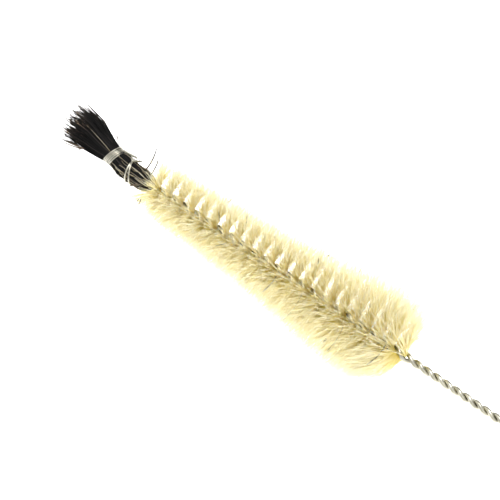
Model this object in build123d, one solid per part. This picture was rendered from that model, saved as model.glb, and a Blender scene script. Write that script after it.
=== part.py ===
from build123d import *
import os
from math import asin, atan, cos, degrees, pi, sin, tan

# A test tube brush. One steel wire is folded at the handle into a hanging eye, and its two strands
# are twisted together. Bundles of pale bristles are gripped between the strands, and a tuft of black
# bristles is lashed round the front end with two wire bindings.
#
# The brush is drawn straight along X, from the tips of the tuft (x = 0) to the eye, and is then laid
# down as it rests: on its widest bristles and on the end of the eye. Millimetres, Z up, origin at the
# middle of the underside of the bounding box.

# Core wire
wire_diameter = 1.1
wire_sides = 6
steps_per_turn = 8
strand_clearance = 0.04
bristle_gap = 0.5
stem_lead = 5.5
stem_turns = 21.5
eye_width = 14.0
eye_segments = 15

# Pale bristles
brush_lead = 7.0
brush_turns = 11
brush_diameter = 25.0
bundles_per_turn = 20
waist_thickness = 0.2
bundle_clearance = 0.12
shoulder_share = 0.78
raggedness = 0.08
bristle_lean = 0.9
rest_flat = 0.8

# Outline of the bristle tips: share of the brush length, share of its widest radius
brush_outline = [
    (0.0, 0.5), (0.14, 0.6), (0.3, 0.65), (0.48, 0.7), (0.62, 0.78),
    (0.73, 0.87), (0.83, 1.0), (0.88, 0.97), (0.94, 0.8), (1.0, 0.5),
]

# Black tuft
tuft_length = 28.7
outer_locks = 12
inner_locks = 6
fan_diameter = 9.8
belly_diameter = 6.2
neck_diameter = 4.8
root_diameter = 3.2
inner_fan_diameter = 4.4
inner_lock_start = 0.3
lock_point = 3.0
fan_raggedness = 2.0
fan_bend = 2.8
fan_side = Vector(0, 0.91, 0.41)
lock_clearance = 0.08

# Wire bindings of the tuft
binding_steps = 12
binding_clearance = 0.05
binding_tail = 2.2
tail_rise = 0.38
front_binding_position = 15.2
front_binding_wire = 0.38
front_binding_turns = 5
front_binding_pitch = 0.42
rear_binding_position = 21.2
rear_binding_wire = 0.5
rear_binding_turns = 2
rear_binding_pitch = 1.3

# Worked out from the sizes above
wire_radius = wire_diameter / 2
strand_radius = wire_radius + strand_clearance / 2
open_strand_radius = (wire_diameter + bristle_gap) / 2
brush_end = tuft_length + brush_lead * brush_turns
twist_end = brush_end + stem_lead * stem_turns
front_binding_length = front_binding_pitch * front_binding_turns + front_binding_wire
rear_binding_length = rear_binding_pitch * rear_binding_turns + rear_binding_wire
fan_root = front_binding_position - front_binding_length / 2
eye_radius = (eye_width + wire_diameter) / 2
eye_half_angle = atan(2 * pi * strand_radius / stem_lead)
eye_centre = twist_end + eye_radius / sin(eye_half_angle)
bundle_pitch = brush_lead / bundles_per_turn
bundle_aspect = (bundle_pitch - bundle_clearance) / waist_thickness
widest_share = max(brush_outline, key=lambda station: station[1])[0]
widest_position = tuft_length + widest_share * brush_lead * brush_turns
axis_height = brush_diameter / 2 - rest_flat
rest_slope = asin((axis_height - wire_radius) / (eye_centre + eye_radius - widest_position))


def polar(x, radius, angle):
    """A point beside the brush axis."""
    return Vector(x, radius * cos(angle), radius * sin(angle))


def corner_radius(radius, steps):
    """Radius of a faceted ring's corners when the middles of its chords lie at the given radius."""
    return radius / cos(pi / steps)


def twist_angle(x):
    """Angle of the first strand round the axis. The twist is right-handed and ends upright at the eye."""
    turns = (twist_end - max(x, brush_end)) / stem_lead
    turns += max(brush_end - max(x, tuft_length), 0) / brush_lead
    turns += max(tuft_length - x, 0) / stem_lead
    return pi / 2 - 2 * pi * turns


def round_wire(points, diameter):
    """A wire of many-sided section along a path of short straight runs with mitred corners."""
    path = Polyline(*points)
    section = Plane(origin=path @ 0, z_dir=path % 0) * RegularPolygon(diameter / 2, wire_sides)
    return sweep(section, path=path, transition=Transition.RIGHT)


def faceted(rings, start=None, end=None):
    """A closed solid of flat faces through rings of corners, pointed at an end where a point is given."""
    outlines = []
    for near, far in zip(rings, rings[1:]):
        outlines += [[near[i - 1], near[i], far[i], far[i - 1]] for i in range(len(near))]
    for ring, point in ((rings[0], start), (rings[-1], end)):
        outlines += [[ring[i - 1], ring[i], point] for i in range(len(ring))] if point else [ring]
    return Solid(Shell([Face(Wire.make_polygon(outline)) for outline in outlines]))


# Core wire


def strand_stretch(start, end, lead, radius):
    """Places and radii of one strand's corners over a stretch of the twist, its end left out."""
    count = max(round((start - end) / lead * steps_per_turn), 1)
    radius = corner_radius(radius, steps_per_turn)
    return [(start + (end - start) * i / count, radius) for i in range(count)]


def eye_points():
    """The hanging eye: an arc that the strands run into as they leave the twist."""
    arc = pi + 2 * eye_half_angle
    radius = corner_radius(eye_radius, 2 * pi * eye_segments / arc)
    angles = [arc * (i / eye_segments - 0.5) for i in range(eye_segments + 1)]
    return [Vector(eye_centre + radius * cos(angle), radius * sin(angle), 0) for angle in angles]


def core_wire():
    """The one wire: up a strand from the front, round the eye and back down the other strand."""
    stations = strand_stretch(twist_end, brush_end, stem_lead, strand_radius)
    stations += strand_stretch(brush_end, tuft_length, brush_lead, open_strand_radius)
    stations += strand_stretch(tuft_length, fan_root, stem_lead, strand_radius)
    first = [polar(x, radius, twist_angle(x)) for x, radius in stations]
    second = [polar(x, radius, twist_angle(x) + pi) for x, radius in stations]
    return round_wire(first[::-1] + eye_points() + second, wire_diameter)


# Pale bristles


def outline_radius(x):
    """Radius of the bristle tips at a place along the brush."""
    share = (x - tuft_length) / (brush_end - tuft_length)
    for (share_0, radius_0), (share_1, radius_1) in zip(brush_outline, brush_outline[1:]):
        if share <= share_1:
            break
    grown = (share - share_0) / (share_1 - share_0)
    return brush_diameter / 2 * (radius_0 + (radius_1 - radius_0) * grown)


def bristle_reach(x, angle, number):
    """How far a bundle reaches. One that would pass the table is pressed level with it."""
    reach = outline_radius(x)
    height = axis_height - (x - widest_position) * sin(rest_slope)
    drop = -sin(angle) * cos(rest_slope)
    if reach * drop > height:
        return height / drop
    return reach * (1 - raggedness * (number * 3 % 5) / 4)


def bundle(number):
    """A bundle of bristles through the gap between the strands, flared and pointed on both sides."""
    x = tuft_length + (number + 0.5) * bundle_pitch
    waist_end = corner_radius(open_strand_radius, steps_per_turn) + wire_radius
    facing = 1 if number % 2 else -1

    def section(angle, radius, thickness):
        centre = polar(x, radius, angle)
        across = Vector(0, -sin(angle), cos(angle)) * thickness / 2
        along = Vector(facing * bundle_aspect * thickness / 2, 0, 0)
        return [centre + across - along, centre - across - along, centre + along]

    def side(angle):
        """Waist ring, shoulder ring and tip of one side."""
        reach = bristle_reach(x, angle, number)
        shoulder = shoulder_share * reach
        thickness = 2 * shoulder * tan(pi / bundles_per_turn) - bundle_clearance
        tip = polar(x, reach, angle) + Vector(bristle_lean * (number % 3 - 1), 0, 0)
        return section(angle, waist_end, waist_thickness), section(angle, shoulder, thickness), tip

    through = twist_angle(x) + pi / 2
    waist, shoulder, tip = side(through)
    back_waist, back_shoulder, back_tip = side(through + pi)
    turned = [[ring[1], ring[0], ring[2]] for ring in (back_shoulder, back_waist)]
    return faceted([*turned, waist, shoulder], back_tip, tip)


def bristle_turn(turn):
    """The bundles of one turn of the twist."""
    return Compound([bundle(turn * bundles_per_turn + i) for i in range(bundles_per_turn)])


# Black tuft


def bent(point):
    """A point of the tuft moved with the fan, which leans to one side in front of its binding."""
    forward = max(fan_root - point.X, 0) / fan_root
    return point + fan_side * fan_bend * forward


def lock(angle, half_angle, stations, tip):
    """A lock of the tuft: wedge-shaped sections at (place, inner radius, outer radius), then a point."""
    rings = []
    for x, inner, outer in stations:
        corners = ((inner, -1), (outer, -1), (outer, 1), (inner, 1))
        rings.append([bent(polar(x, radius, angle + side * half_angle)) for radius, side in corners])
    return faceted(rings, end=bent(tip))


def ring_of_locks(count, stations, tip_radius):
    """Locks side by side round the axis, their tips uneven."""
    half_angle = pi / count - lock_clearance / (2 * stations[0][1])
    locks = []
    for i in range(count):
        angle = 2 * pi * i / count
        tip = polar(fan_raggedness * (i * 5 % 7) / 6, tip_radius, angle)
        locks.append(lock(angle, half_angle, stations, tip))
    return locks


def tuft():
    """Outer locks from the root to the fan, and inner locks that fill the fan in front of the wire."""
    wire_reach = corner_radius(strand_radius, steps_per_turn) + wire_radius
    inside = corner_radius(wire_reach + lock_clearance, outer_locks)
    fan_inside = corner_radius(inner_fan_diameter / 2 + lock_clearance, outer_locks)
    neck = neck_diameter / 2
    front_back = front_binding_position + front_binding_length / 2
    rear_front = rear_binding_position - rear_binding_length / 2
    fan_shoulder = lock_point + fan_raggedness
    outer_stations = [
        (tuft_length - stem_lead / steps_per_turn, inside, root_diameter / 2),
        (rear_binding_position + rear_binding_length / 2, inside, neck),
        (rear_front, inside, neck),
        ((front_back + rear_front) / 2, inside, belly_diameter / 2),
        (front_back, inside, neck),
        (fan_root, inside, neck),
        (fan_shoulder, fan_inside, fan_diameter / 2),
    ]
    inner_stations = [
        (fan_root - lock_clearance, inner_lock_start, wire_reach),
        (fan_shoulder, inner_lock_start, inner_fan_diameter / 2),
    ]
    locks = ring_of_locks(outer_locks, outer_stations, (fan_inside + fan_diameter / 2) / 2)
    locks += ring_of_locks(inner_locks, inner_stations, inner_fan_diameter / 4)
    return Compound(locks)


# Wire bindings


def binding(position, wire, turns, pitch):
    """A wire lashed round the tuft, its two ends laid back along the tuft, one over the other."""
    radius = corner_radius(neck_diameter / 2 + binding_clearance + wire / 2, binding_steps)
    count = turns * binding_steps
    coil = [
        polar(position + pitch * turns * (i / count - 0.5), radius, pi / 2 + 2 * pi * i / binding_steps)
        for i in range(count + 1)
    ]
    over = Vector(0, 0, 1.25 * wire)
    last_tail = coil[-1] + Vector(1, 0, tail_rise) * binding_tail
    return round_wire([last_tail + over, coil[0] + over, *coil, last_tail], wire)


def main():
    os.makedirs("parts", exist_ok=True)
    nodes = {"core_wire": core_wire(), "tuft_bristles": tuft()}
    for turn in range(brush_turns):
        nodes[f"bristle_turn_{turn + 1:02d}"] = bristle_turn(turn)
    nodes["front_binding"] = binding(
        front_binding_position, front_binding_wire, front_binding_turns, front_binding_pitch
    )
    nodes["rear_binding"] = binding(
        rear_binding_position, rear_binding_wire, rear_binding_turns, rear_binding_pitch
    )
    laid = {name: Rot(0, degrees(rest_slope), 0) * shape for name, shape in nodes.items()}
    box = Compound(list(laid.values())).bounding_box()
    origin = Pos(-box.center().X, -box.center().Y, -box.min.Z)
    for name, shape in laid.items():
        export_step(origin * shape, f"parts/{name}.step")


main()
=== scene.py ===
import bpy
import numpy as np
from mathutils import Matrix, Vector


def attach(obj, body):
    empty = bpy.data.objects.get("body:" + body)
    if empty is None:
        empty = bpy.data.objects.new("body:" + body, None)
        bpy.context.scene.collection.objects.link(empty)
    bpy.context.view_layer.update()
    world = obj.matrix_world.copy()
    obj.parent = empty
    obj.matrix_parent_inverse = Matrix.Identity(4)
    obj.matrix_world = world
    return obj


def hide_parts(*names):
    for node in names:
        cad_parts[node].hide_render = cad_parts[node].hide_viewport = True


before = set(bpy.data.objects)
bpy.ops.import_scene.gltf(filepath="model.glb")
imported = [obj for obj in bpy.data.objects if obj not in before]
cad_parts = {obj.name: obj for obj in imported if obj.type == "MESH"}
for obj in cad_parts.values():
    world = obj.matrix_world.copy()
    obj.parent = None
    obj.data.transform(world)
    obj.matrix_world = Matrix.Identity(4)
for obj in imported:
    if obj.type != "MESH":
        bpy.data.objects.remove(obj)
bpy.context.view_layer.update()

bl_info = {
    "name": "Test tube brush",
    "version": (1, 0, 0),
    "blender": (4, 5, 0),
    "location": "View3D > Sidebar > Brush",
    "description": "Twisted wire, pale bristles, black tuft and wire bindings of a test tube brush",
    "category": "Add Mesh",
}

TURN_NODES = sorted(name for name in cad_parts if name.startswith("bristle_turn"))
ALONG = np.array([1.0, 0.0, 0.0])


# Sizes and colours


class BrushWire(bpy.types.PropertyGroup):
    diameter: bpy.props.FloatProperty(
        name="Wire diameter",
        description="Thickness of the folded wire",
        default=0.0011,
        unit="LENGTH",
        precision=5,
    )
    stem_lead: bpy.props.FloatProperty(
        name="Stem lead",
        description="Length of one turn of the bare stem",
        default=0.0055,
        unit="LENGTH",
        precision=5,
    )
    stem_turns: bpy.props.FloatProperty(
        name="Stem turns", description="Turns of the twist in the bare stem", default=21.5
    )
    bristle_gap: bpy.props.FloatProperty(
        name="Bristle gap",
        description="Room between the strands for bristles",
        default=0.0005,
        unit="LENGTH",
        precision=5,
    )
    eye_width: bpy.props.FloatProperty(
        name="Eye width", description="Inner width of the hanging eye", default=0.014, unit="LENGTH"
    )
    colour: bpy.props.FloatVectorProperty(
        name="Wire colour",
        description="Colour of the bright wire",
        default=(0.48, 0.46, 0.37),
        subtype="COLOR",
        size=3,
    )


class BrushHead(bpy.types.PropertyGroup):
    lead: bpy.props.FloatProperty(
        name="Head lead",
        description="Length of one turn of the bristle head",
        default=0.007,
        unit="LENGTH",
        precision=5,
    )
    diameter: bpy.props.FloatProperty(
        name="Head diameter", description="Widest bristles, tip to tip", default=0.025, unit="LENGTH"
    )
    bristles_per_turn: bpy.props.IntProperty(
        name="Bristles per turn", description="Bristles gripped in one turn of the twist", default=880
    )
    fibre: bpy.props.FloatProperty(
        name="Fibre",
        description="Thickness of a bristle at its middle",
        default=0.0001,
        unit="LENGTH",
        precision=6,
    )
    lean: bpy.props.FloatProperty(
        name="Lean", description="Slope of the bristles towards the tuft", default=0.13
    )
    spread: bpy.props.FloatProperty(
        name="Spread", description="How far bristle tips stray along the brush", default=0.0019, unit="LENGTH"
    )
    # Root colour: the bristles' own yellow, brightened and saturated as painted light that lifts the shade
    # among the bristles by the wire
    root_colour_with_painted_light: bpy.props.FloatVectorProperty(
        name="Root colour",
        description="Bristle colour by the wire",
        default=(0.98, 0.74, 0.12),
        subtype="COLOR",
        size=3,
    )
    # Tip colour: the bristles' own cream, darkened as painted shade against the strong light on the tips
    tip_colour_with_painted_shade: bpy.props.FloatVectorProperty(
        name="Tip colour",
        description="Bristle colour at the tips",
        default=(0.84, 0.77, 0.50),
        subtype="COLOR",
        size=3,
    )


class BrushTuft(bpy.types.PropertyGroup):
    length: bpy.props.FloatProperty(
        name="Tuft length",
        description="From the tuft's tips to the pale bristles",
        default=0.0287,
        unit="LENGTH",
    )
    bristles: bpy.props.IntProperty(
        name="Tuft bristles", description="Black bristles in the tuft", default=540
    )
    fibre: bpy.props.FloatProperty(
        name="Tuft fibre",
        description="Thickness of a black bristle",
        default=0.00025,
        unit="LENGTH",
        precision=6,
    )
    fan_diameter: bpy.props.FloatProperty(
        name="Fan diameter", description="Width of the tuft at its tips", default=0.0098, unit="LENGTH"
    )
    fan_bend: bpy.props.FloatProperty(
        name="Fan bend", description="How far the fan leans to one side", default=0.0027, unit="LENGTH"
    )
    colour: bpy.props.FloatVectorProperty(
        name="Tuft colour",
        description="Colour of the black bristles",
        default=(0.003, 0.0028, 0.0028),
        subtype="COLOR",
        size=3,
    )


class BrushBindings(bpy.types.PropertyGroup):
    front_position: bpy.props.FloatProperty(
        name="Front binding",
        description="Place of the close coil along the brush",
        default=0.0156,
        unit="LENGTH",
    )
    front_wire: bpy.props.FloatProperty(
        name="Front wire",
        description="Thickness of the close coil's wire",
        default=0.00038,
        unit="LENGTH",
        precision=5,
    )
    rear_position: bpy.props.FloatProperty(
        name="Rear binding",
        description="Place of the crossed turns along the brush",
        default=0.0214,
        unit="LENGTH",
    )
    rear_wire: bpy.props.FloatProperty(
        name="Rear wire",
        description="Thickness of the crossed turns' wire",
        default=0.0005,
        unit="LENGTH",
        precision=5,
    )
    colour: bpy.props.FloatVectorProperty(
        name="Binding colour",
        description="Colour of the thin wire",
        default=(0.52, 0.50, 0.42),
        subtype="COLOR",
        size=3,
    )


class BrushStage(bpy.types.PropertyGroup):
    azimuth: bpy.props.FloatProperty(
        name="Camera azimuth", description="Angle round the brush", default=np.radians(35.59), subtype="ANGLE"
    )
    elevation: bpy.props.FloatProperty(
        name="Camera elevation",
        description="Angle above the floor",
        default=np.radians(62.02),
        subtype="ANGLE",
    )
    distance: bpy.props.FloatProperty(
        name="Camera distance", description="From the camera to its target", default=0.31, unit="LENGTH"
    )
    lens: bpy.props.FloatProperty(name="Lens", description="Focal length in millimetres", default=90.45)
    target: bpy.props.FloatProperty(
        name="Target",
        description="Place along the brush at the picture's middle",
        default=0.05803,
        unit="LENGTH",
    )
    aside: bpy.props.FloatProperty(
        name="Aside",
        description="How far the picture's middle lies beside the brush",
        default=0.00042,
        unit="LENGTH",
    )


# Frame of the brush


def node_points(name):
    """Corners of a node of the frame, one row each."""
    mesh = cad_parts[name].data
    flat = np.empty(len(mesh.vertices) * 3)
    mesh.vertices.foreach_get("co", flat)
    return flat.reshape(-1, 3)


def brush_axes():
    """The tip of the tuft on the brush axis, and unit rows along, across and up.

    The axis is the longest direction of the bare stem's corners through their mean. The eye starts
    where the wire lies further from the axis than the twist does.
    """
    twist_reach, eye_margin = 0.002, 0.001
    wire = node_points("core_wire")
    stem_start = node_points(TURN_NODES[-1])[:, 0].max()
    eye_start = wire[np.abs(wire[:, 1]) > twist_reach, 0].min()
    stem = wire[(wire[:, 0] > stem_start) & (wire[:, 0] < eye_start - eye_margin)]
    middle = stem.mean(axis=0)
    along = np.linalg.svd(stem - middle, full_matrices=False)[2][0]
    along = along * [1.0, 0.0, 1.0] * np.sign(along[0])
    along /= np.linalg.norm(along)
    across = np.array([0.0, 1.0, 0.0])
    tip = ((node_points("tuft_bristles") - middle) @ along).min()
    return middle + tip * along, np.array([along, across, np.cross(along, across)])


BRUSH_TIP, BRUSH_AXES = brush_axes()

# Angles round the axis, towards the picture's upper edge and towards its viewer
TOP = np.radians(28)
FACE = np.radians(118)


def placed(points):
    """Points given along, across and up from the tuft's tip, moved into the frame."""
    return BRUSH_TIP + points @ BRUSH_AXES


def head_end(scene):
    """Place along the brush where the head gives way to the bare stem."""
    return scene.brush_tuft.length + scene.brush_head.lead * len(TURN_NODES)


def twist_end(scene):
    """Place along the brush where the twist gives way to the eye."""
    return head_end(scene) + scene.brush_wire.stem_lead * scene.brush_wire.stem_turns


def twist_angle(scene, x):
    """Angle of the first strand: a quarter turn at the eye, less a full turn for each lead before it."""
    head, lead = head_end(scene), scene.brush_head.lead
    tuft, stem_lead = scene.brush_tuft.length, scene.brush_wire.stem_lead
    turns = (twist_end(scene) - np.maximum(x, head)) / stem_lead
    turns += np.maximum(head - np.maximum(x, tuft), 0) / lead
    turns += np.maximum(tuft - x, 0) / stem_lead
    return np.pi / 2 - 2 * np.pi * turns


def polar(x, radius, angle):
    """Points beside the axis: (x, r cos a, r sin a)."""
    return np.stack(np.broadcast_arrays(x, radius * np.cos(angle), radius * np.sin(angle)), axis=-1)


# Meshes

# Sides of the round sections
WIRE_SIDES = 14
BINDING_SIDES = 10
STRAY_SIDES = 4
BRISTLE_SIDES = 3


def unit(vectors):
    """Vectors scaled to length one."""
    return vectors / np.linalg.norm(vectors, axis=-1, keepdims=True)


def tube_grid(paths, radii, sides, reference):
    """Rings of round tubes along paths of shape (tubes, rings, 3).

    A ring's corners are centre + radius (n cos a + b sin a), with n square to the path and to the
    reference direction, b square to both, and a evenly spaced round the ring.
    """
    along = unit(np.gradient(paths, axis=1))
    normal = unit(np.cross(along, reference))
    other = np.cross(along, normal)
    angle = np.arange(sides) * 2 * np.pi / sides
    spokes = np.cos(angle)[:, None] * normal[:, :, None] + np.sin(angle)[:, None] * other[:, :, None]
    return paths[:, :, None] + radii[:, :, None, None] * spokes


def tube_mesh(name, grid):
    """Closed tubes from a grid (tubes, rings, sides, 3).

    Four-cornered faces join the rings, and one face closes each end.
    """
    tubes, rings, sides = grid.shape[:3]
    index = np.arange(tubes * rings * sides).reshape(tubes, rings, sides)
    following = np.roll(index, -1, axis=2)
    quads = np.stack([index[:, :-1], following[:, :-1], following[:, 1:], index[:, 1:]], axis=-1)
    caps = np.concatenate([index[:, 0, ::-1], index[:, -1]])
    corners = np.concatenate([quads.ravel(), caps.ravel()])
    sizes = np.concatenate([np.full(quads.size // 4, 4), np.full(len(caps), sides)])
    mesh = bpy.data.meshes.new(name)
    mesh.vertices.add(index.size)
    mesh.vertices.foreach_set("co", grid.astype(np.float32).ravel())
    mesh.loops.add(len(corners))
    mesh.loops.foreach_set("vertex_index", corners.astype(np.int32))
    mesh.polygons.add(len(sizes))
    mesh.polygons.foreach_set("loop_start", (np.cumsum(sizes) - sizes).astype(np.int32))
    mesh.polygons.foreach_set("use_smooth", np.ones(len(sizes), bool))
    mesh.update(calc_edges=True)
    return mesh


def write_fibre_map(mesh, tubes, rings, sides, share, tone):
    """The map of the tubes: v is share, the place along the tube.

    u is tone, one number for each tube, or the place round the tube where tone is None.
    """
    share = np.broadcast_to(share, (tubes, rings))
    quad_v = np.stack([share[:, :-1], share[:, :-1], share[:, 1:], share[:, 1:]], axis=-1)[:, :, None]
    cap_v = np.repeat(np.concatenate([share[:, 0], share[:, -1]]), sides)
    if tone is None:
        quad_u = (np.arange(sides)[:, None] + [0, 1, 1, 0]) / sides
        cap_u = np.full(len(cap_v), 0.5)
    else:
        quad_u = tone[:, None, None, None]
        cap_u = np.repeat(np.concatenate([tone, tone]), sides)
    corners = (tubes, rings - 1, sides, 4)
    quad_map = np.stack([np.broadcast_to(quad_u, corners), np.broadcast_to(quad_v, corners)], axis=-1)
    cap_map = np.stack([cap_u, cap_v], axis=-1)
    layer = mesh.uv_layers.new(name="Fibre")
    values = np.concatenate([quad_map.reshape(-1, 2), cap_map])
    layer.data.foreach_set("uv", values.astype(np.float32).ravel())


def tube_piece(name, grid, share, tone, material, replaced):
    """A piece of closed tubes that rides the root body and takes the place of the replaced nodes."""
    mesh = tube_mesh(name, grid)
    write_fibre_map(mesh, *grid.shape[:3], share, tone)
    piece = bpy.data.objects.new(name, mesh)
    bpy.context.scene.collection.objects.link(piece)
    mesh.materials.append(material)
    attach(piece, "root")
    for node in replaced:
        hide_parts(node)


# Materials


def new_material(name):
    """A material with its nodes, its links and its shader."""
    material = bpy.data.materials.new(name)
    material.use_nodes = True
    tree = material.node_tree
    return material, tree.nodes, tree.links, tree.nodes["Principled BSDF"]


def colour_ramp(nodes, stops):
    """A colour ramp with the given places and colours."""
    ramp = nodes.new("ShaderNodeValToRGB")
    elements = ramp.color_ramp.elements
    for _ in stops[2:]:
        elements.new(0.5)
    for element, (place, colour) in zip(elements, stops):
        element.position = place
        element.color = (*colour, 1.0)
    return ramp


def colour_product(nodes, links, first, second):
    """Two colours multiplied channel by channel."""
    mix = nodes.new("ShaderNodeMix")
    mix.data_type = "RGBA"
    mix.blend_type = "MULTIPLY"
    mix.inputs["Factor"].default_value = 1.0
    links.new(first, mix.inputs["A"])
    links.new(second, mix.inputs["B"])
    return mix.outputs["Result"]


def noise_factor(nodes, links, vector, scale, detail):
    """Smooth noise over the given coordinates."""
    noise = nodes.new("ShaderNodeTexNoise")
    noise.inputs["Scale"].default_value = scale
    noise.inputs["Detail"].default_value = detail
    links.new(vector, noise.inputs["Vector"])
    return noise.outputs["Fac"]


def vary_roughness(nodes, links, shader, factor, low, high):
    """Roughness that runs from low to high with the factor."""
    spread = nodes.new("ShaderNodeMapRange")
    spread.inputs["To Min"].default_value = low
    spread.inputs["To Max"].default_value = high
    links.new(factor, spread.inputs["Value"])
    links.new(spread.outputs["Result"], shader.inputs["Roughness"])


def bristle_material(name, along_stops, tone_stops, roughness, glow):
    """Bristle: a colour along the fibre times a tone for each fibre, with a fine mottle in its shine."""
    material, nodes, links, shader = new_material(name)
    source = nodes.new("ShaderNodeUVMap")
    source.uv_map = "Fibre"
    parts = nodes.new("ShaderNodeSeparateXYZ")
    links.new(source.outputs["UV"], parts.inputs[0])
    along = colour_ramp(nodes, along_stops)
    each = colour_ramp(nodes, tone_stops)
    links.new(parts.outputs["Y"], along.inputs["Fac"])
    links.new(parts.outputs["X"], each.inputs["Fac"])
    colour = colour_product(nodes, links, along.outputs["Color"], each.outputs["Color"])
    links.new(colour, shader.inputs["Base Color"])
    position = nodes.new("ShaderNodeTexCoord")
    mottle = noise_factor(nodes, links, position.outputs["Object"], 1800.0, 2.0)
    vary_roughness(nodes, links, shader, mottle, roughness - 0.1, roughness + 0.12)
    shader.inputs["Subsurface Weight"].default_value = glow
    shader.inputs["Subsurface Radius"].default_value = (0.0004, 0.0003, 0.00015)
    shader.inputs["Subsurface Scale"].default_value = 1.0
    return material


def steel_material(name, colour, roughness):
    """Drawn wire: fine scratches along its length and a slow mottle of grey film over its brightness."""
    material, nodes, links, shader = new_material(name)
    source = nodes.new("ShaderNodeUVMap")
    source.uv_map = "Fibre"
    stretch = nodes.new("ShaderNodeMapping")
    stretch.inputs["Scale"].default_value = (14.0, 60.0, 1.0)
    links.new(source.outputs["UV"], stretch.inputs["Vector"])
    scratches = noise_factor(nodes, links, stretch.outputs["Vector"], 1.0, 4.0)
    position = nodes.new("ShaderNodeTexCoord")
    mottle = noise_factor(nodes, links, position.outputs["Object"], 700.0, 3.0)
    film_colour = tuple(0.55 * channel for channel in colour)
    film = colour_ramp(nodes, [(0.3, film_colour), (0.62, tuple(colour))])
    links.new(mottle, film.inputs["Fac"])
    links.new(film.outputs["Color"], shader.inputs["Base Color"])
    vary_roughness(nodes, links, shader, scratches, roughness - 0.1, roughness + 0.15)
    relief = nodes.new("ShaderNodeBump")
    relief.inputs["Strength"].default_value = 0.25
    relief.inputs["Distance"].default_value = 0.00003
    links.new(scratches, relief.inputs["Height"])
    links.new(relief.outputs["Normal"], shader.inputs["Normal"])
    shader.inputs["Metallic"].default_value = 1.0
    return material


def floor_material():
    """Matt white board with a faint tooth."""
    material, nodes, links, shader = new_material("white_board")
    tooth = nodes.new("ShaderNodeTexNoise")
    tooth.inputs["Scale"].default_value = 900.0
    relief = nodes.new("ShaderNodeBump")
    relief.inputs["Strength"].default_value = 0.02
    links.new(tooth.outputs["Fac"], relief.inputs["Height"])
    links.new(relief.outputs["Normal"], shader.inputs["Normal"])
    shader.inputs["Base Color"].default_value = (0.95, 0.95, 0.95, 1.0)
    shader.inputs["Roughness"].default_value = 0.9
    shader.inputs["Emission Color"].default_value = (1.0, 1.0, 1.0, 1.0)
    shader.inputs["Emission Strength"].default_value = 0.8
    return material


# Core wire

# Length over which the strands part or close
STRAND_EASE = 0.0012

# Length at the head's stem end that holds no bristles
BARE_END = 0.0014

# How far the strands run on past the front binding
FRONT_STUB = 0.0012

# Length of wire that one unit of the map covers
MAP_LENGTH = 0.02


def strand_radius(scene, x):
    """Distance of a strand from the axis: touching in the stem, apart in the head, eased between."""
    closed = scene.brush_wire.diameter / 2
    opened = closed + scene.brush_wire.bristle_gap / 2
    start, end = scene.brush_tuft.length, head_end(scene) - BARE_END
    places = [start - STRAND_EASE, start, end, end + STRAND_EASE]
    return np.interp(x, places, [closed, opened, opened, closed])


def eye_path(scene):
    """The hanging eye: a straight leg, an arc and the leg back.

    Each leg leaves the axis at the angle whose tangent is pi times the wire's diameter over the
    stem's lead. It starts half a diameter above or below the axis and eases down to the arc's plane.
    """
    arc_rings, leg_rings = 80, 16
    wire = scene.brush_wire
    end = twist_end(scene)
    eye_radius = (wire.eye_width + wire.diameter) / 2
    half = np.arctan(np.pi * wire.diameter / wire.stem_lead)
    centre = end + eye_radius / np.sin(half)
    turn = np.linspace(-half - np.pi / 2, half + np.pi / 2, arc_rings)
    arc = np.stack([centre + eye_radius * np.cos(turn), eye_radius * np.sin(turn), 0 * turn], axis=-1)
    share = np.linspace(0, 1, leg_rings)[1:-1, None]
    leg = share * arc[0] + (1 - share) * np.array([end, 0, 0])
    leg[:, 2:] = wire.diameter / 2 * (1 - share) ** 2 * (1 + 2 * share)
    back_leg = (leg * [1, -1, -1])[::-1]
    return np.concatenate([leg, arc, back_leg])


def wire_path(scene):
    """The folded wire: a right-handed helix to the eye, the eye, and the helix back half a turn on."""
    rings_per_lead = 26
    front, end = scene.brush_bindings.front_position - FRONT_STUB, twist_end(scene)
    x = np.linspace(front, end, int((end - front) / scene.brush_wire.stem_lead * rings_per_lead))
    angle, radius = twist_angle(scene, x), strand_radius(scene, x)
    back = polar(x, radius, angle + np.pi)[::-1]
    return np.concatenate([polar(x, radius, angle), eye_path(scene), back])


class BRUSH_OT_core_wire(bpy.types.Operator):
    """Lays the one folded wire: both strands of the twist and the hanging eye."""

    bl_idname = "brush.core_wire"
    bl_label = "Core wire"

    def execute(self, context):
        scene = context.scene
        path = placed(wire_path(scene))[None]
        length = np.cumsum(np.linalg.norm(np.diff(path[0], axis=0, prepend=path[:1, 0]), axis=1))
        radii = np.full(path.shape[:2], scene.brush_wire.diameter / 2)
        grid = tube_grid(path, radii, WIRE_SIDES, BRUSH_AXES[2])
        material = steel_material("bright_wire", scene.brush_wire.colour, 0.28)
        tube_piece("twisted_wire", grid, length / MAP_LENGTH, None, material, ["core_wire"])
        return {"FINISHED"}


# Pale bristles

# Places along the head, from the tuft to the stem, and the bristles' reach there as a share of half
# the head's diameter
HEAD_OUTLINE = (
    (0.0, 0.14, 0.3, 0.48, 0.62, 0.73, 0.83, 0.9, 0.94, 0.97, 1.0),
    (0.54, 0.63, 0.68, 0.75, 0.85, 0.98, 1.05, 1.06, 1.0, 0.91, 0.76),
)

# How far the strands hold a bristle straight, to each side of the axis
GRIP = 0.0012

# How far the outline of the side away from TOP is shifted to the tuft
LOWER_SHIFT = 0.006

# Share by which the TOP side reaches further and the other side less far
UPPER_REACH = 0.07

# Added slopes at the head's two ends
TUFT_END_LEAN = 0.95
STEM_END_LEAN = 0.35

# Clumps in one turn, and the stray in slope that a clump shares
CLUMPS = 9
CLUMP_STRAY = 0.016

# Stray round the brush as a share of the stray along it, and the strength of the bow
ROUND_STRAY = 0.85
BOW = 5.0


def head_radius(scene, x):
    """Radius of the bristle tips at a place along the head."""
    start, end = scene.brush_tuft.length, head_end(scene)
    return scene.brush_head.diameter / 2 * np.interp((x - start) / (end - start), *HEAD_OUTLINE)


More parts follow.
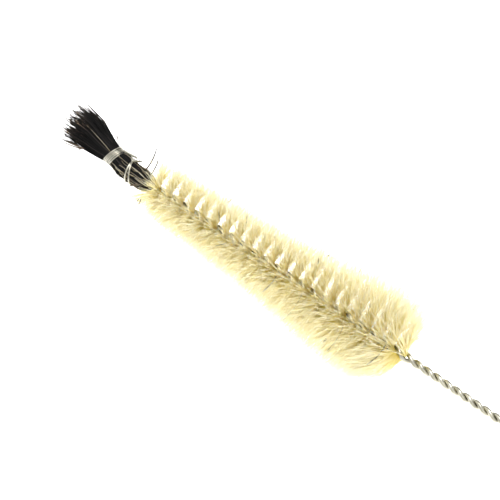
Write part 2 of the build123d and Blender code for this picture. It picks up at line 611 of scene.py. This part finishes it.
def side_lean(scene, along_head, facing, rng):
    """Slope towards the tuft on one side of the wire.

    It is even along the head. At the tuft's end it grows on the side away from TOP, and at the
    stem's end it also grows there and falls on the TOP side, each by a random share.
    """
    count = len(along_head)
    stem_end = STEM_END_LEAN * along_head**18 * (1 - 1.5 * facing) * rng.uniform(0.4, 1.4, count)
    tuft_end = TUFT_END_LEAN * np.exp(-along_head / 0.015) * rng.random(count) ** 1.3 * (1 - facing)
    return scene.brush_head.lean + stem_end + tuft_end


def bristle_side(scene, x, along_head, clump, facing, rng):
    """Reach, slope along the brush and slope round it of each bristle, on one side of the wire.

    The slopes stray at random, in part for a whole clump. The reach follows the outline at the place
    to which the slope carries the tip, so the tips stay within the head's shape.
    """
    head = scene.brush_head
    count = len(x)
    reach = head_radius(scene, x)
    stray = head.spread * (2 * reach / head.diameter) ** 0.35 / reach
    lean = side_lean(scene, along_head, facing, rng)
    slope = rng.normal(0, CLUMP_STRAY, CLUMPS)[clump] + rng.normal(0, 1, count) * stray - lean
    spin = rng.normal(0, CLUMP_STRAY, CLUMPS)[clump] + rng.normal(0, ROUND_STRAY, count) * stray
    tip_place = x + slope * head.diameter * 0.4 + LOWER_SHIFT / 2 * (1 - facing)
    reach = head_radius(scene, tip_place)
    reach = reach * (1 + UPPER_REACH * facing) * (1.07 - 0.2 * rng.random(count))
    return reach + 0.0003 * rng.normal(0, 1, count), slope, spin


def pale_bristle_paths(scene, turn, count, rng):
    """Bristles through the gap between the strands, from tip to tip, and the share of their reach.

    Distance from the axis runs from one reach to the other. Past the grip each side leaves the gap's
    direction by a slope along the brush, which grows outwards, by a slope round it, and by a bow that
    grows with the square of the distance.
    """
    start = scene.brush_tuft.length
    along_head = (turn + rng.random(count)) / len(TURN_NODES)
    x = start + (head_end(scene) - BARE_END - start) * along_head
    angle = twist_angle(scene, x) + np.pi / 2
    clump = np.floor((x - start) / scene.brush_head.lead * CLUMPS).astype(int) % CLUMPS
    facing = np.cos(angle - TOP)
    first = bristle_side(scene, x, along_head, clump, facing, rng)
    second = bristle_side(scene, x, along_head, clump, -facing, rng)
    rings, gap_share = 11, 0.3
    share = np.linspace(-1, 1, rings)
    reach, slope, spin = (
        np.where(share > 0, one[:, None], other[:, None]) for one, other in zip(first, second)
    )
    distance = share * reach
    past = np.maximum(np.abs(distance) - GRIP, 0)
    flare = past * (past / past.max(axis=1, keepdims=True)) ** (0.1 + 0.4 * along_head[:, None])
    bow = rng.normal(0, BOW, (count, 2))
    along = x[:, None] + flare * slope + bow[:, :1] * past**2
    across = rng.uniform(-1, 1, count)[:, None] * scene.brush_wire.bristle_gap * gap_share
    across = across + past * spin + bow[:, 1:] * past**2
    angle = angle[:, None]
    paths = np.stack([
        along,
        distance * np.cos(angle) - across * np.sin(angle),
        distance * np.sin(angle) + across * np.cos(angle),
    ], axis=-1)
    return paths, np.broadcast_to(np.abs(share), distance.shape)


def pale_material(head):
    """Pale bristle: strong yellow by the wire, cream at the tips, some bristles darker than others. Part of
    this is painted light: the yellow by the wire is brightened and saturated to lift the shade among the
    bristles there, and the tips are darkened as painted shade against the strong light on them.
    """
    root, tip = np.array(head.root_colour_with_painted_light), np.array(head.tip_colour_with_painted_shade)
    # Painted light along the fibre: root and middle stops kept bright against the shade by the wire, tip
    # darker than the stop before it as painted shade against the strong light on the tips
    stops = [(0.05, root), (0.35, (0.98, 0.80, 0.25)), (0.7, (0.96, 0.86, 0.48)), (1.0, tip)]
    tones = [(0.0, (0.82, 0.74, 0.55)), (0.2, (0.96, 0.94, 0.88)), (1.0, (1.0, 1.0, 1.0))]
    return bristle_material("pale_bristle", stops, tones, 0.42, 0.6)


class BRUSH_OT_pale_bristles(bpy.types.Operator):
    """Fills every turn of the head with pale bristles, pressed flat where they meet the table."""

    bl_idname = "brush.pale_bristles"
    bl_label = "Pale bristles"

    def execute(self, context):
        scene = context.scene
        head = scene.brush_head
        count = head.bristles_per_turn
        material = pale_material(head)
        for turn, node in enumerate(TURN_NODES):
            rng = np.random.default_rng(100 + turn)
            paths, share = pale_bristle_paths(scene, turn, count, rng)
            paths = placed(paths)
            paths[..., 2] = np.maximum(paths[..., 2], head.fibre / 2)
            radii = head.fibre / 2 * (1 - 0.45 * share**2) * rng.uniform(0.85, 1.2, count)[:, None]
            grid = tube_grid(paths, radii, BRISTLE_SIDES, BRUSH_AXES[0])
            grid[..., 2] = np.maximum(grid[..., 2], 0)
            name = f"pale_bristles_{turn + 1:02d}"
            tube_piece(name, grid, share, rng.random(count), material, [node])
        return {"FINISHED"}


# Black tuft

# Places along the tuft and the share of the fan's bend there, and the side to which it bends
BEND_OUTLINE = (
    (0.003, 0.007, 0.011, 0.0155, 0.0185, 0.0215),
    (1.0, 0.98, 0.65, 0.38, 0.13, 0.0),
)
BEND_SIDE = np.array([0.0, 0.91, 0.41])

# Radius of the tuft where a binding ties it
TIED_RADIUS = 0.0026

# Places between which the tuft's core opens for the strands' front ends
CORE_OPENING = (0.0125, 0.0145)


def tuft_radius(scene, x):
    """Radius of the tuft: narrow under the bindings, a belly between them and a fan in front."""
    bindings, fan = scene.brush_bindings, scene.brush_tuft.fan_diameter / 2
    front, rear = bindings.front_position, bindings.rear_position
    outline = (
        (0.002, fan),
        (0.0065, fan * 0.92),
        (0.011, fan * 0.72),
        (front - 0.001, TIED_RADIUS),
        (front + 0.001, TIED_RADIUS),
        ((front + rear) / 2, 0.0031),
        (rear - 0.001, TIED_RADIUS),
        (rear + 0.001, TIED_RADIUS),
        (0.0255, 0.0025),
        (0.0285, 0.0015),
    )
    return np.interp(x, *zip(*outline))


def bent(scene, points):
    """Points of the tuft moved sideways by the fan's bend times the bend outline at their place."""
    return points + scene.brush_tuft.fan_bend * np.interp(points[..., :1], *BEND_OUTLINE) * BEND_SIDE


def tuft_paths(scene, count, rng, depth, tips, roots, rings=12):
    """Bristles that follow the tuft's outline, each at its own share of the depth.

    Radius = inner + depth (outline - inner). In front of the front binding each wanders by a random
    slope and a random bow.
    """
    share = np.linspace(0, 1, rings)
    x = roots[:, None] + (tips - roots)[:, None] * share
    inner = np.interp(x, CORE_OPENING, [0.0, scene.brush_wire.diameter])
    radius = inner + depth[:, None] * (tuft_radius(scene, x) - inner)
    angle = rng.random(count)[:, None] * 2 * np.pi + rng.normal(0, 0.05, (count, 1)) * share
    points = polar(x, radius, angle)
    free = np.maximum(scene.brush_bindings.front_position - x, 0)
    slope = rng.normal(0, 0.035, (count, 2))
    bow = rng.normal(0, 2.2, (count, 2))
    points[..., 1:] += free[..., None] * slope[:, None] + free[..., None] ** 2 * bow[:, None]
    return bent(scene, points), np.broadcast_to(share, x.shape)


def black_material(colour):
    """Black bristle with worn brown tips; one in fifteen or so is lighter than the rest."""
    stops = [(0.0, colour), (0.84, colour), (0.95, colour * [4, 3.3, 2.8]), (1.0, (0.07, 0.055, 0.04))]
    tones = [(0.0, (1, 1, 1)), (0.92, (1.3, 1.3, 1.3)), (0.95, (8, 7.6, 7)), (1.0, (18, 17, 15))]
    material = bristle_material("black_bristle", stops, tones, 0.5, 0.0)
    material.node_tree.nodes["Principled BSDF"].inputs["Specular IOR Level"].default_value = 0.15
    return material


class BRUSH_OT_tuft(bpy.types.Operator):
    """Grows the black tuft."""

    bl_idname = "brush.tuft"
    bl_label = "Black tuft"

    def execute(self, context):
        scene = context.scene
        tuft = scene.brush_tuft
        material = black_material(np.array(tuft.colour))
        rng = np.random.default_rng(7)
        count = tuft.bristles
        tips_apart, roots_apart, root_margin = 0.0062, 0.003, 0.0005
        depth = np.sqrt(rng.random(count))
        tips = tips_apart * rng.random(count) ** 1.5
        roots = tuft.length - root_margin - roots_apart * rng.random(count) * depth
        paths, share = tuft_paths(scene, count, rng, depth, tips, roots)
        radii = tuft.fibre / 2 * (1 - 0.5 * share**7) * rng.uniform(0.75, 1.15, count)[:, None]
        grid = tube_grid(placed(paths), radii, BRISTLE_SIDES, BRUSH_AXES[1])
        tube_piece("black_tuft", grid, share, rng.random(count), material, ["tuft_bristles"])
        return {"FINISHED"}


# Stray bristles

# Rows of place, rise and lift at each end, and the thickness, in millimetres
HEAD_STRAYS = (
    (47.0, 7.1, 1.0, 47.3, 8.8, 1.0, 0.31),
    (48.8, 2.2, 4.5, 47.1, 4.4, 4.5, 0.25),
    (54.7, 2.9, 2.0, 53.1, 7.8, 3.0, 0.28),
    (75.0, 5.9, 3.0, 74.0, 8.3, 3.0, 0.28),
    (75.2, 9.6, 1.0, 75.4, 10.8, 1.0, 0.28),
    (83.8, 10.6, 1.0, 83.6, 12.0, 1.0, 0.36),
    (91.2, 4.7, 6.0, 90.8, 6.4, 6.0, 0.36),
    (99.5, 10.4, 1.0, 99.5, 11.8, 1.0, 0.34),
    (103.5, 4.2, 2.0, 105.0, 6.6, 2.0, 0.22),
    (53.2, -1.0, 5.0, 51.2, -3.2, 5.0, 0.31),
    (68.1, -0.8, 5.0, 67.3, -5.9, 5.0, 0.48),
    (75.5, -1.3, 3.5, 75.3, -8.9, 5.0, 0.22),
    (98.9, 0.4, 3.5, 98.2, -5.9, 8.5, 0.5),
    (86.7, -6.4, 6.5, 86.5, -7.4, 6.5, 0.42),
    (88.3, -2.0, 5.0, 88.3, -8.8, 5.5, 0.22),
    (27.5, -4.3, 2.0, 27.3, -5.2, 2.0, 0.28),
)

TUFT_STRAYS = (
    (24.8, 2.6, 1.5, 24.3, 8.9, 2.0, 0.52),
    (26.6, 2.3, 1.5, 26.1, 7.0, 2.0, 0.48),
    (27.6, 3.8, 1.0, 27.1, 7.3, 1.0, 0.2),
    (21.9, 3.1, 1.0, 20.5, 10.4, 1.0, 0.17),
    (15.0, 4.1, 1.0, 8.5, 8.4, 1.0, 0.2),
    (14.3, 4.3, 0.5, 9.5, 9.1, 0.0, 0.17),
    (3.1, 7.4, 1.0, 1.2, 10.2, 1.0, 0.17),
    (25.0, -1.4, 2.0, 23.5, -3.2, 2.0, 0.52),
    (8.0, -1.7, 2.0, 0.5, -2.9, 2.0, 0.4),
    (7.4, -2.2, 1.5, 0.7, -3.6, 2.0, 0.36),
    (7.3, -2.2, 1.5, 6.4, -3.2, 1.5, 0.22),
    (28.3, -4.1, 3.0, 28.5, -5.8, 3.0, 0.31),
)

TUFT_LIGHTS = (
    (15.0, 1.4, 2.6, 6.2, 3.8, 3.9, 0.12),
    (28.2, 0.4, 1.7, 15.8, 1.9, 3.0, 0.14),
)

# Reference direction for the rings of the stray bristles
STRAY_REFERENCE = BRUSH_AXES[1] + 0.3 * BRUSH_AXES[0]


def stray_paths(rows, rings):
    """Single bristles and their thickness, from rows as above.

    Rise is the distance from the axis towards the TOP angle, and lift towards the FACE angle. Each
    bristle bows along the brush by a share of its length.
    """
    ends = np.array(rows) / 1000
    share = np.linspace(0, 1, rings)[:, None]
    start, end = ends[:, None, :3], ends[:, None, 3:6]
    bow = 0.06 * np.linalg.norm(end - start, axis=-1, keepdims=True) * np.sin(np.pi * share)
    points = start + (end - start) * share + bow * ALONG
    rise, lift = points[..., 1], points[..., 2]
    paths = np.stack([
        points[..., 0],
        rise * np.cos(TOP) + lift * np.cos(FACE),
        rise * np.sin(TOP) + lift * np.sin(FACE),
    ], axis=-1)
    return paths, ends[:, 6:]


def add_dark_strays(rng):
    """The dark bristles in the pale head and the loose black hairs round the tuft."""
    stops = [(0.0, (0.05, 0.035, 0.02)), (1.0, (0.02, 0.016, 0.012))]
    tones = [(0.0, (1, 1, 1)), (1.0, (2.2, 2.0, 1.7))]
    material = bristle_material("dark_stray", stops, tones, 0.4, 0.0)
    paths, thickness = stray_paths(HEAD_STRAYS + TUFT_STRAYS, 8)
    share = np.broadcast_to(np.linspace(0, 1, paths.shape[1]), paths.shape[:2])
    radii = thickness / 2 * (1 - 0.6 * share**3)
    grid = tube_grid(placed(paths), radii, STRAY_SIDES, STRAY_REFERENCE)
    tube_piece("dark_strays", grid, share, rng.random(len(paths)), material, [])


def add_light_strands(scene, rng):
    """Pale strands that lie on the tuft: most behind the rear binding, some between the bindings.

    Each follows the tuft's outline with a small wave to the side: height sin(a share + b), with a and
    b random. Two long ones are given one by one in TUFT_LIGHTS.
    """
    stops = [(0.0, (0.3, 0.24, 0.13)), (0.5, (0.54, 0.49, 0.37)), (1.0, (0.34, 0.28, 0.18))]
    tones = [(0.0, (0.2, 0.19, 0.17)), (1.0, (1, 1, 1))]
    material = bristle_material("light_strand", stops, tones, 0.35, 0.2)
    count, rings = 90, 14
    root_share, wave_height, thin = 0.75, 0.00022, 0.00007
    at_root = rng.random(count) < root_share
    tips = np.where(at_root, rng.uniform(0.0205, 0.0245, count), rng.uniform(0.0145, 0.019, count))
    roots = np.where(at_root, 0.0282, rng.uniform(0.0205, 0.025, count))
    depth = rng.uniform(1.0, 1.08, count)
    paths, share = tuft_paths(scene, count, rng, depth, tips, roots, rings)
    wave = np.sin(share * rng.uniform(4, 9, (count, 1)) + rng.uniform(0, 6, (count, 1)))
    long_paths, thickness = stray_paths(TUFT_LIGHTS, rings)
    paths = np.concatenate([paths + wave_height * wave[..., None] * [0.0, 1.0, 0.0], long_paths])
    radii = np.full(paths.shape[:2], thin)
    radii[count:] = thickness / 2
    grid = tube_grid(placed(paths), radii, BRISTLE_SIDES, STRAY_REFERENCE)
    share = np.broadcast_to(share[:1], radii.shape)
    tube_piece("light_strands", grid, share, rng.random(len(paths)), material, [])


class BRUSH_OT_strays(bpy.types.Operator):
    """Adds the dark bristles in the pale head, the loose black hairs and the pale ones over the tuft."""

    bl_idname = "brush.strays"
    bl_label = "Stray bristles"

    def execute(self, context):
        rng = np.random.default_rng(31)
        add_dark_strays(rng)
        add_light_strands(context.scene, rng)
        return {"FINISHED"}


# Wire bindings

# Inner radius of the turns, and how much each binding slants
TURN_RADIUS = 0.00258
FRONT_SLANT = 0.38
REAR_SLANT = -0.33

# Angles round the axis, in degrees, of the close coil's middle and of the other turns' crossing
COIL_ANGLE = 52
CROSSING_ANGLE = 62


def slanted(points, slope):
    """Points round the tuft moved along it in proportion to how far they lie towards the TOP angle."""
    height = points[..., 1] * np.cos(TOP) + points[..., 2] * np.sin(TOP)
    return points + slope * height[..., None] * ALONG


def front_coil(scene):
    """A close coil of uneven turns: (position + pitch t, r cos a, r sin a), with a one turn for each t."""
    bindings = scene.brush_bindings
    pitch = 0.00044
    t = np.linspace(-2.4, 2.4, 190)
    angle = np.radians(COIL_ANGLE) + 2 * np.pi * t
    uneven = 0.14 * np.sin(2.3 * t + 0.4) + 0.05 * np.sin(3 * angle)
    radius = TURN_RADIUS + bindings.front_wire * (0.5 + uneven)
    place = bindings.front_position + pitch * t + 0.00005 * np.sin(2 * angle + 1.3 * t)
    return bent(scene, slanted(polar(place, radius, angle), FRONT_SLANT))


def front_tails(scene):
    """The coil's two ends, twisted together and laid back over the tuft."""
    turns, tail_start, tail_length, half_apart = 3.2, 0.0005, 0.0034, 0.00017
    share = np.linspace(0, 1, 60)
    turn = 2 * np.pi * turns * share
    place = scene.brush_bindings.front_position + tail_start + tail_length * share
    axis = polar(place, 0.0030 + 0.0008 * share**0.7, np.radians(50 - 14 * share))
    axis = bent(scene, slanted(axis, FRONT_SLANT))
    radius = half_apart * (1 + 0.5 * share**4)
    return np.array([axis + polar(0 * share, radius, turn + start) for start in (0.0, np.pi)])


def rear_loops(scene):
    """Two turns that cross: place = position + spread sin(pi t), with one turn for each t from -1 to 1.

    Near its end the wire lifts over the crossing.
    """
    bindings = scene.brush_bindings
    spread = 0.0008
    t = np.linspace(-1, 1, 110)
    angle = np.radians(CROSSING_ANGLE) + 2 * np.pi * t
    over = 0.35 * (1 + t) * np.exp(-20 * (1 - np.abs(t)) ** 2)
    radius = TURN_RADIUS + bindings.rear_wire * (0.5 + over)
    place = bindings.rear_position + spread * np.sin(np.pi * t)
    return slanted(polar(place, radius, angle), REAR_SLANT)


def rear_tails(scene):
    """The crossed turns' ends, one bent back over the root and one forward."""
    share = np.linspace(0, 1, 20)
    position = scene.brush_bindings.rear_position
    back_angle = np.radians(CROSSING_ANGLE - 38 * share)
    front_angle = np.radians(CROSSING_ANGLE - 30 * share)
    back = polar(position + 0.0022 * share, 0.0030 + 0.0006 * share, back_angle)
    front = polar(position - 0.0010 * share, 0.0029 + 0.0004 * share, front_angle)
    return slanted(np.array([back, front]), REAR_SLANT)


def add_binding(name, paths, wire, material, replaced):
    """One binding's coil or its two tails, as round wire of the given thickness."""
    reference = BRUSH_AXES[1] if name.endswith("tails") else BRUSH_AXES[0]
    grid = tube_grid(placed(paths), np.full(paths.shape[:2], wire / 2), BINDING_SIDES, reference)
    share = np.broadcast_to(np.arange(paths.shape[1]) / 30, paths.shape[:2])
    tube_piece(name, grid, share, None, material, replaced)


class BRUSH_OT_bindings(bpy.types.Operator):
    """Winds the two wire bindings round the tuft."""

    bl_idname = "brush.bindings"
    bl_label = "Wire bindings"

    def execute(self, context):
        scene = context.scene
        bindings = scene.brush_bindings
        material = steel_material("binding_wire", bindings.colour, 0.25)
        front, rear = bindings.front_wire * 0.84, bindings.rear_wire * 0.9
        add_binding("front_coil", front_coil(scene)[None], front, material, ["front_binding"])
        add_binding("front_tails", front_tails(scene), front, material, [])
        add_binding("rear_loops", rear_loops(scene)[None], rear, material, ["rear_binding"])
        add_binding("rear_tails", rear_tails(scene), rear, material, [])
        return {"FINISHED"}


# Stage


def floor_plane():
    """A wide white floor just under the table's level."""
    reach, drop = 3.0, 0.0002
    mesh = bpy.data.meshes.new("floor")
    corners = [(-reach, -reach, 0), (reach, -reach, 0), (reach, reach, 0), (-reach, reach, 0)]
    mesh.from_pydata(corners, [], [(0, 1, 2, 3)])
    floor = bpy.data.objects.new("floor", mesh)
    bpy.context.scene.collection.objects.link(floor)
    mesh.materials.append(floor_material())
    floor.location.z = -drop


def studio_world():
    """Grey surroundings: bright in the middle, half as bright on the camera's side, dim beyond the brush."""
    world = bpy.data.worlds.new("studio")
    world.use_nodes = True
    nodes, links = world.node_tree.nodes, world.node_tree.links
    direction = nodes.new("ShaderNodeTexCoord")
    parts = nodes.new("ShaderNodeSeparateXYZ")
    links.new(direction.outputs["Generated"], parts.inputs[0])
    spread = nodes.new("ShaderNodeMapRange")
    spread.inputs["From Min"].default_value = -0.6
    spread.inputs["From Max"].default_value = 0.6
    links.new(parts.outputs["Y"], spread.inputs["Value"])
    greys = [(0.0, 0.5), (0.4, 0.95), (0.65, 0.95), (1.0, 0.15)]
    glow = colour_ramp(nodes, [(place, (grey, grey, grey)) for place, grey in greys])
    links.new(spread.outputs["Result"], glow.inputs["Fac"])
    links.new(glow.outputs["Color"], nodes["Background"].inputs["Color"])
    nodes["Background"].inputs["Strength"].default_value = 2.2
    return world


def soft_light(name, place, size, power):
    """A square light aimed at the frame's origin."""
    data = bpy.data.lights.new(name, "AREA")
    data.size = size
    data.energy = power
    light = bpy.data.objects.new(name, data)
    light.location = place
    light.rotation_euler = (-Vector(place)).to_track_quat("-Z", "Y").to_euler()
    bpy.context.scene.collection.objects.link(light)


def aimed_camera(stage):
    """The camera at its distance from the target, along the direction of the two angles."""
    azimuth, elevation = stage.azimuth, stage.elevation
    back = np.array([
        np.sin(azimuth) * np.cos(elevation),
        -np.cos(azimuth) * np.cos(elevation),
        np.sin(elevation),
    ])
    target = placed(np.array([stage.target, stage.aside, 0.0]))
    data = bpy.data.cameras.new("camera")
    data.lens = stage.lens
    camera = bpy.data.objects.new("camera", data)
    camera.location = Vector(target + stage.distance * back)
    camera.rotation_euler = Vector(back).to_track_quat("Z", "Y").to_euler()
    bpy.context.scene.collection.objects.link(camera)
    return camera


class BRUSH_OT_stage(bpy.types.Operator):
    """Sets the floor, the light and the camera."""

    bl_idname = "brush.stage"
    bl_label = "Stage"

    def execute(self, context):
        scene = context.scene
        floor_plane()
        scene.world = studio_world()
        scene.view_settings.view_transform = "Standard"
        soft_light("key_light", (-0.05, 0.25, 1.0), 0.5, 9.0)
        scene.camera = aimed_camera(scene.brush_stage)
        return {"FINISHED"}


# Add-on


class BRUSH_PT_panel(bpy.types.Panel):
    """Buttons for the pieces of the brush."""

    bl_label = "Test tube brush"
    bl_idname = "BRUSH_PT_panel"
    bl_space_type = "VIEW_3D"
    bl_region_type = "UI"
    bl_category = "Brush"

    def draw(self, context):
        for operator in OPERATORS:
            self.layout.operator(operator.bl_idname)


GROUPS = {
    "brush_wire": BrushWire,
    "brush_head": BrushHead,
    "brush_tuft": BrushTuft,
    "brush_bindings": BrushBindings,
    "brush_stage": BrushStage,
}
OPERATORS = (
    BRUSH_OT_core_wire,
    BRUSH_OT_pale_bristles,
    BRUSH_OT_tuft,
    BRUSH_OT_strays,
    BRUSH_OT_bindings,
    BRUSH_OT_stage,
)


def register():
    for cls in (*GROUPS.values(), *OPERATORS, BRUSH_PT_panel):
        bpy.utils.register_class(cls)
    for name, group in GROUPS.items():
        setattr(bpy.types.Scene, name, bpy.props.PointerProperty(type=group))


def unregister():
    for name in GROUPS:
        delattr(bpy.types.Scene, name)
    for cls in (BRUSH_PT_panel, *reversed(OPERATORS), *reversed(GROUPS.values())):
        bpy.utils.unregister_class(cls)


def main():
    """Builds every piece and the stage."""
    register()
    bpy.ops.brush.core_wire()
    bpy.ops.brush.pale_bristles()
    bpy.ops.brush.tuft()
    bpy.ops.brush.strays()
    bpy.ops.brush.bindings()
    bpy.ops.brush.stage()


if __name__ == "__main__":
    main()
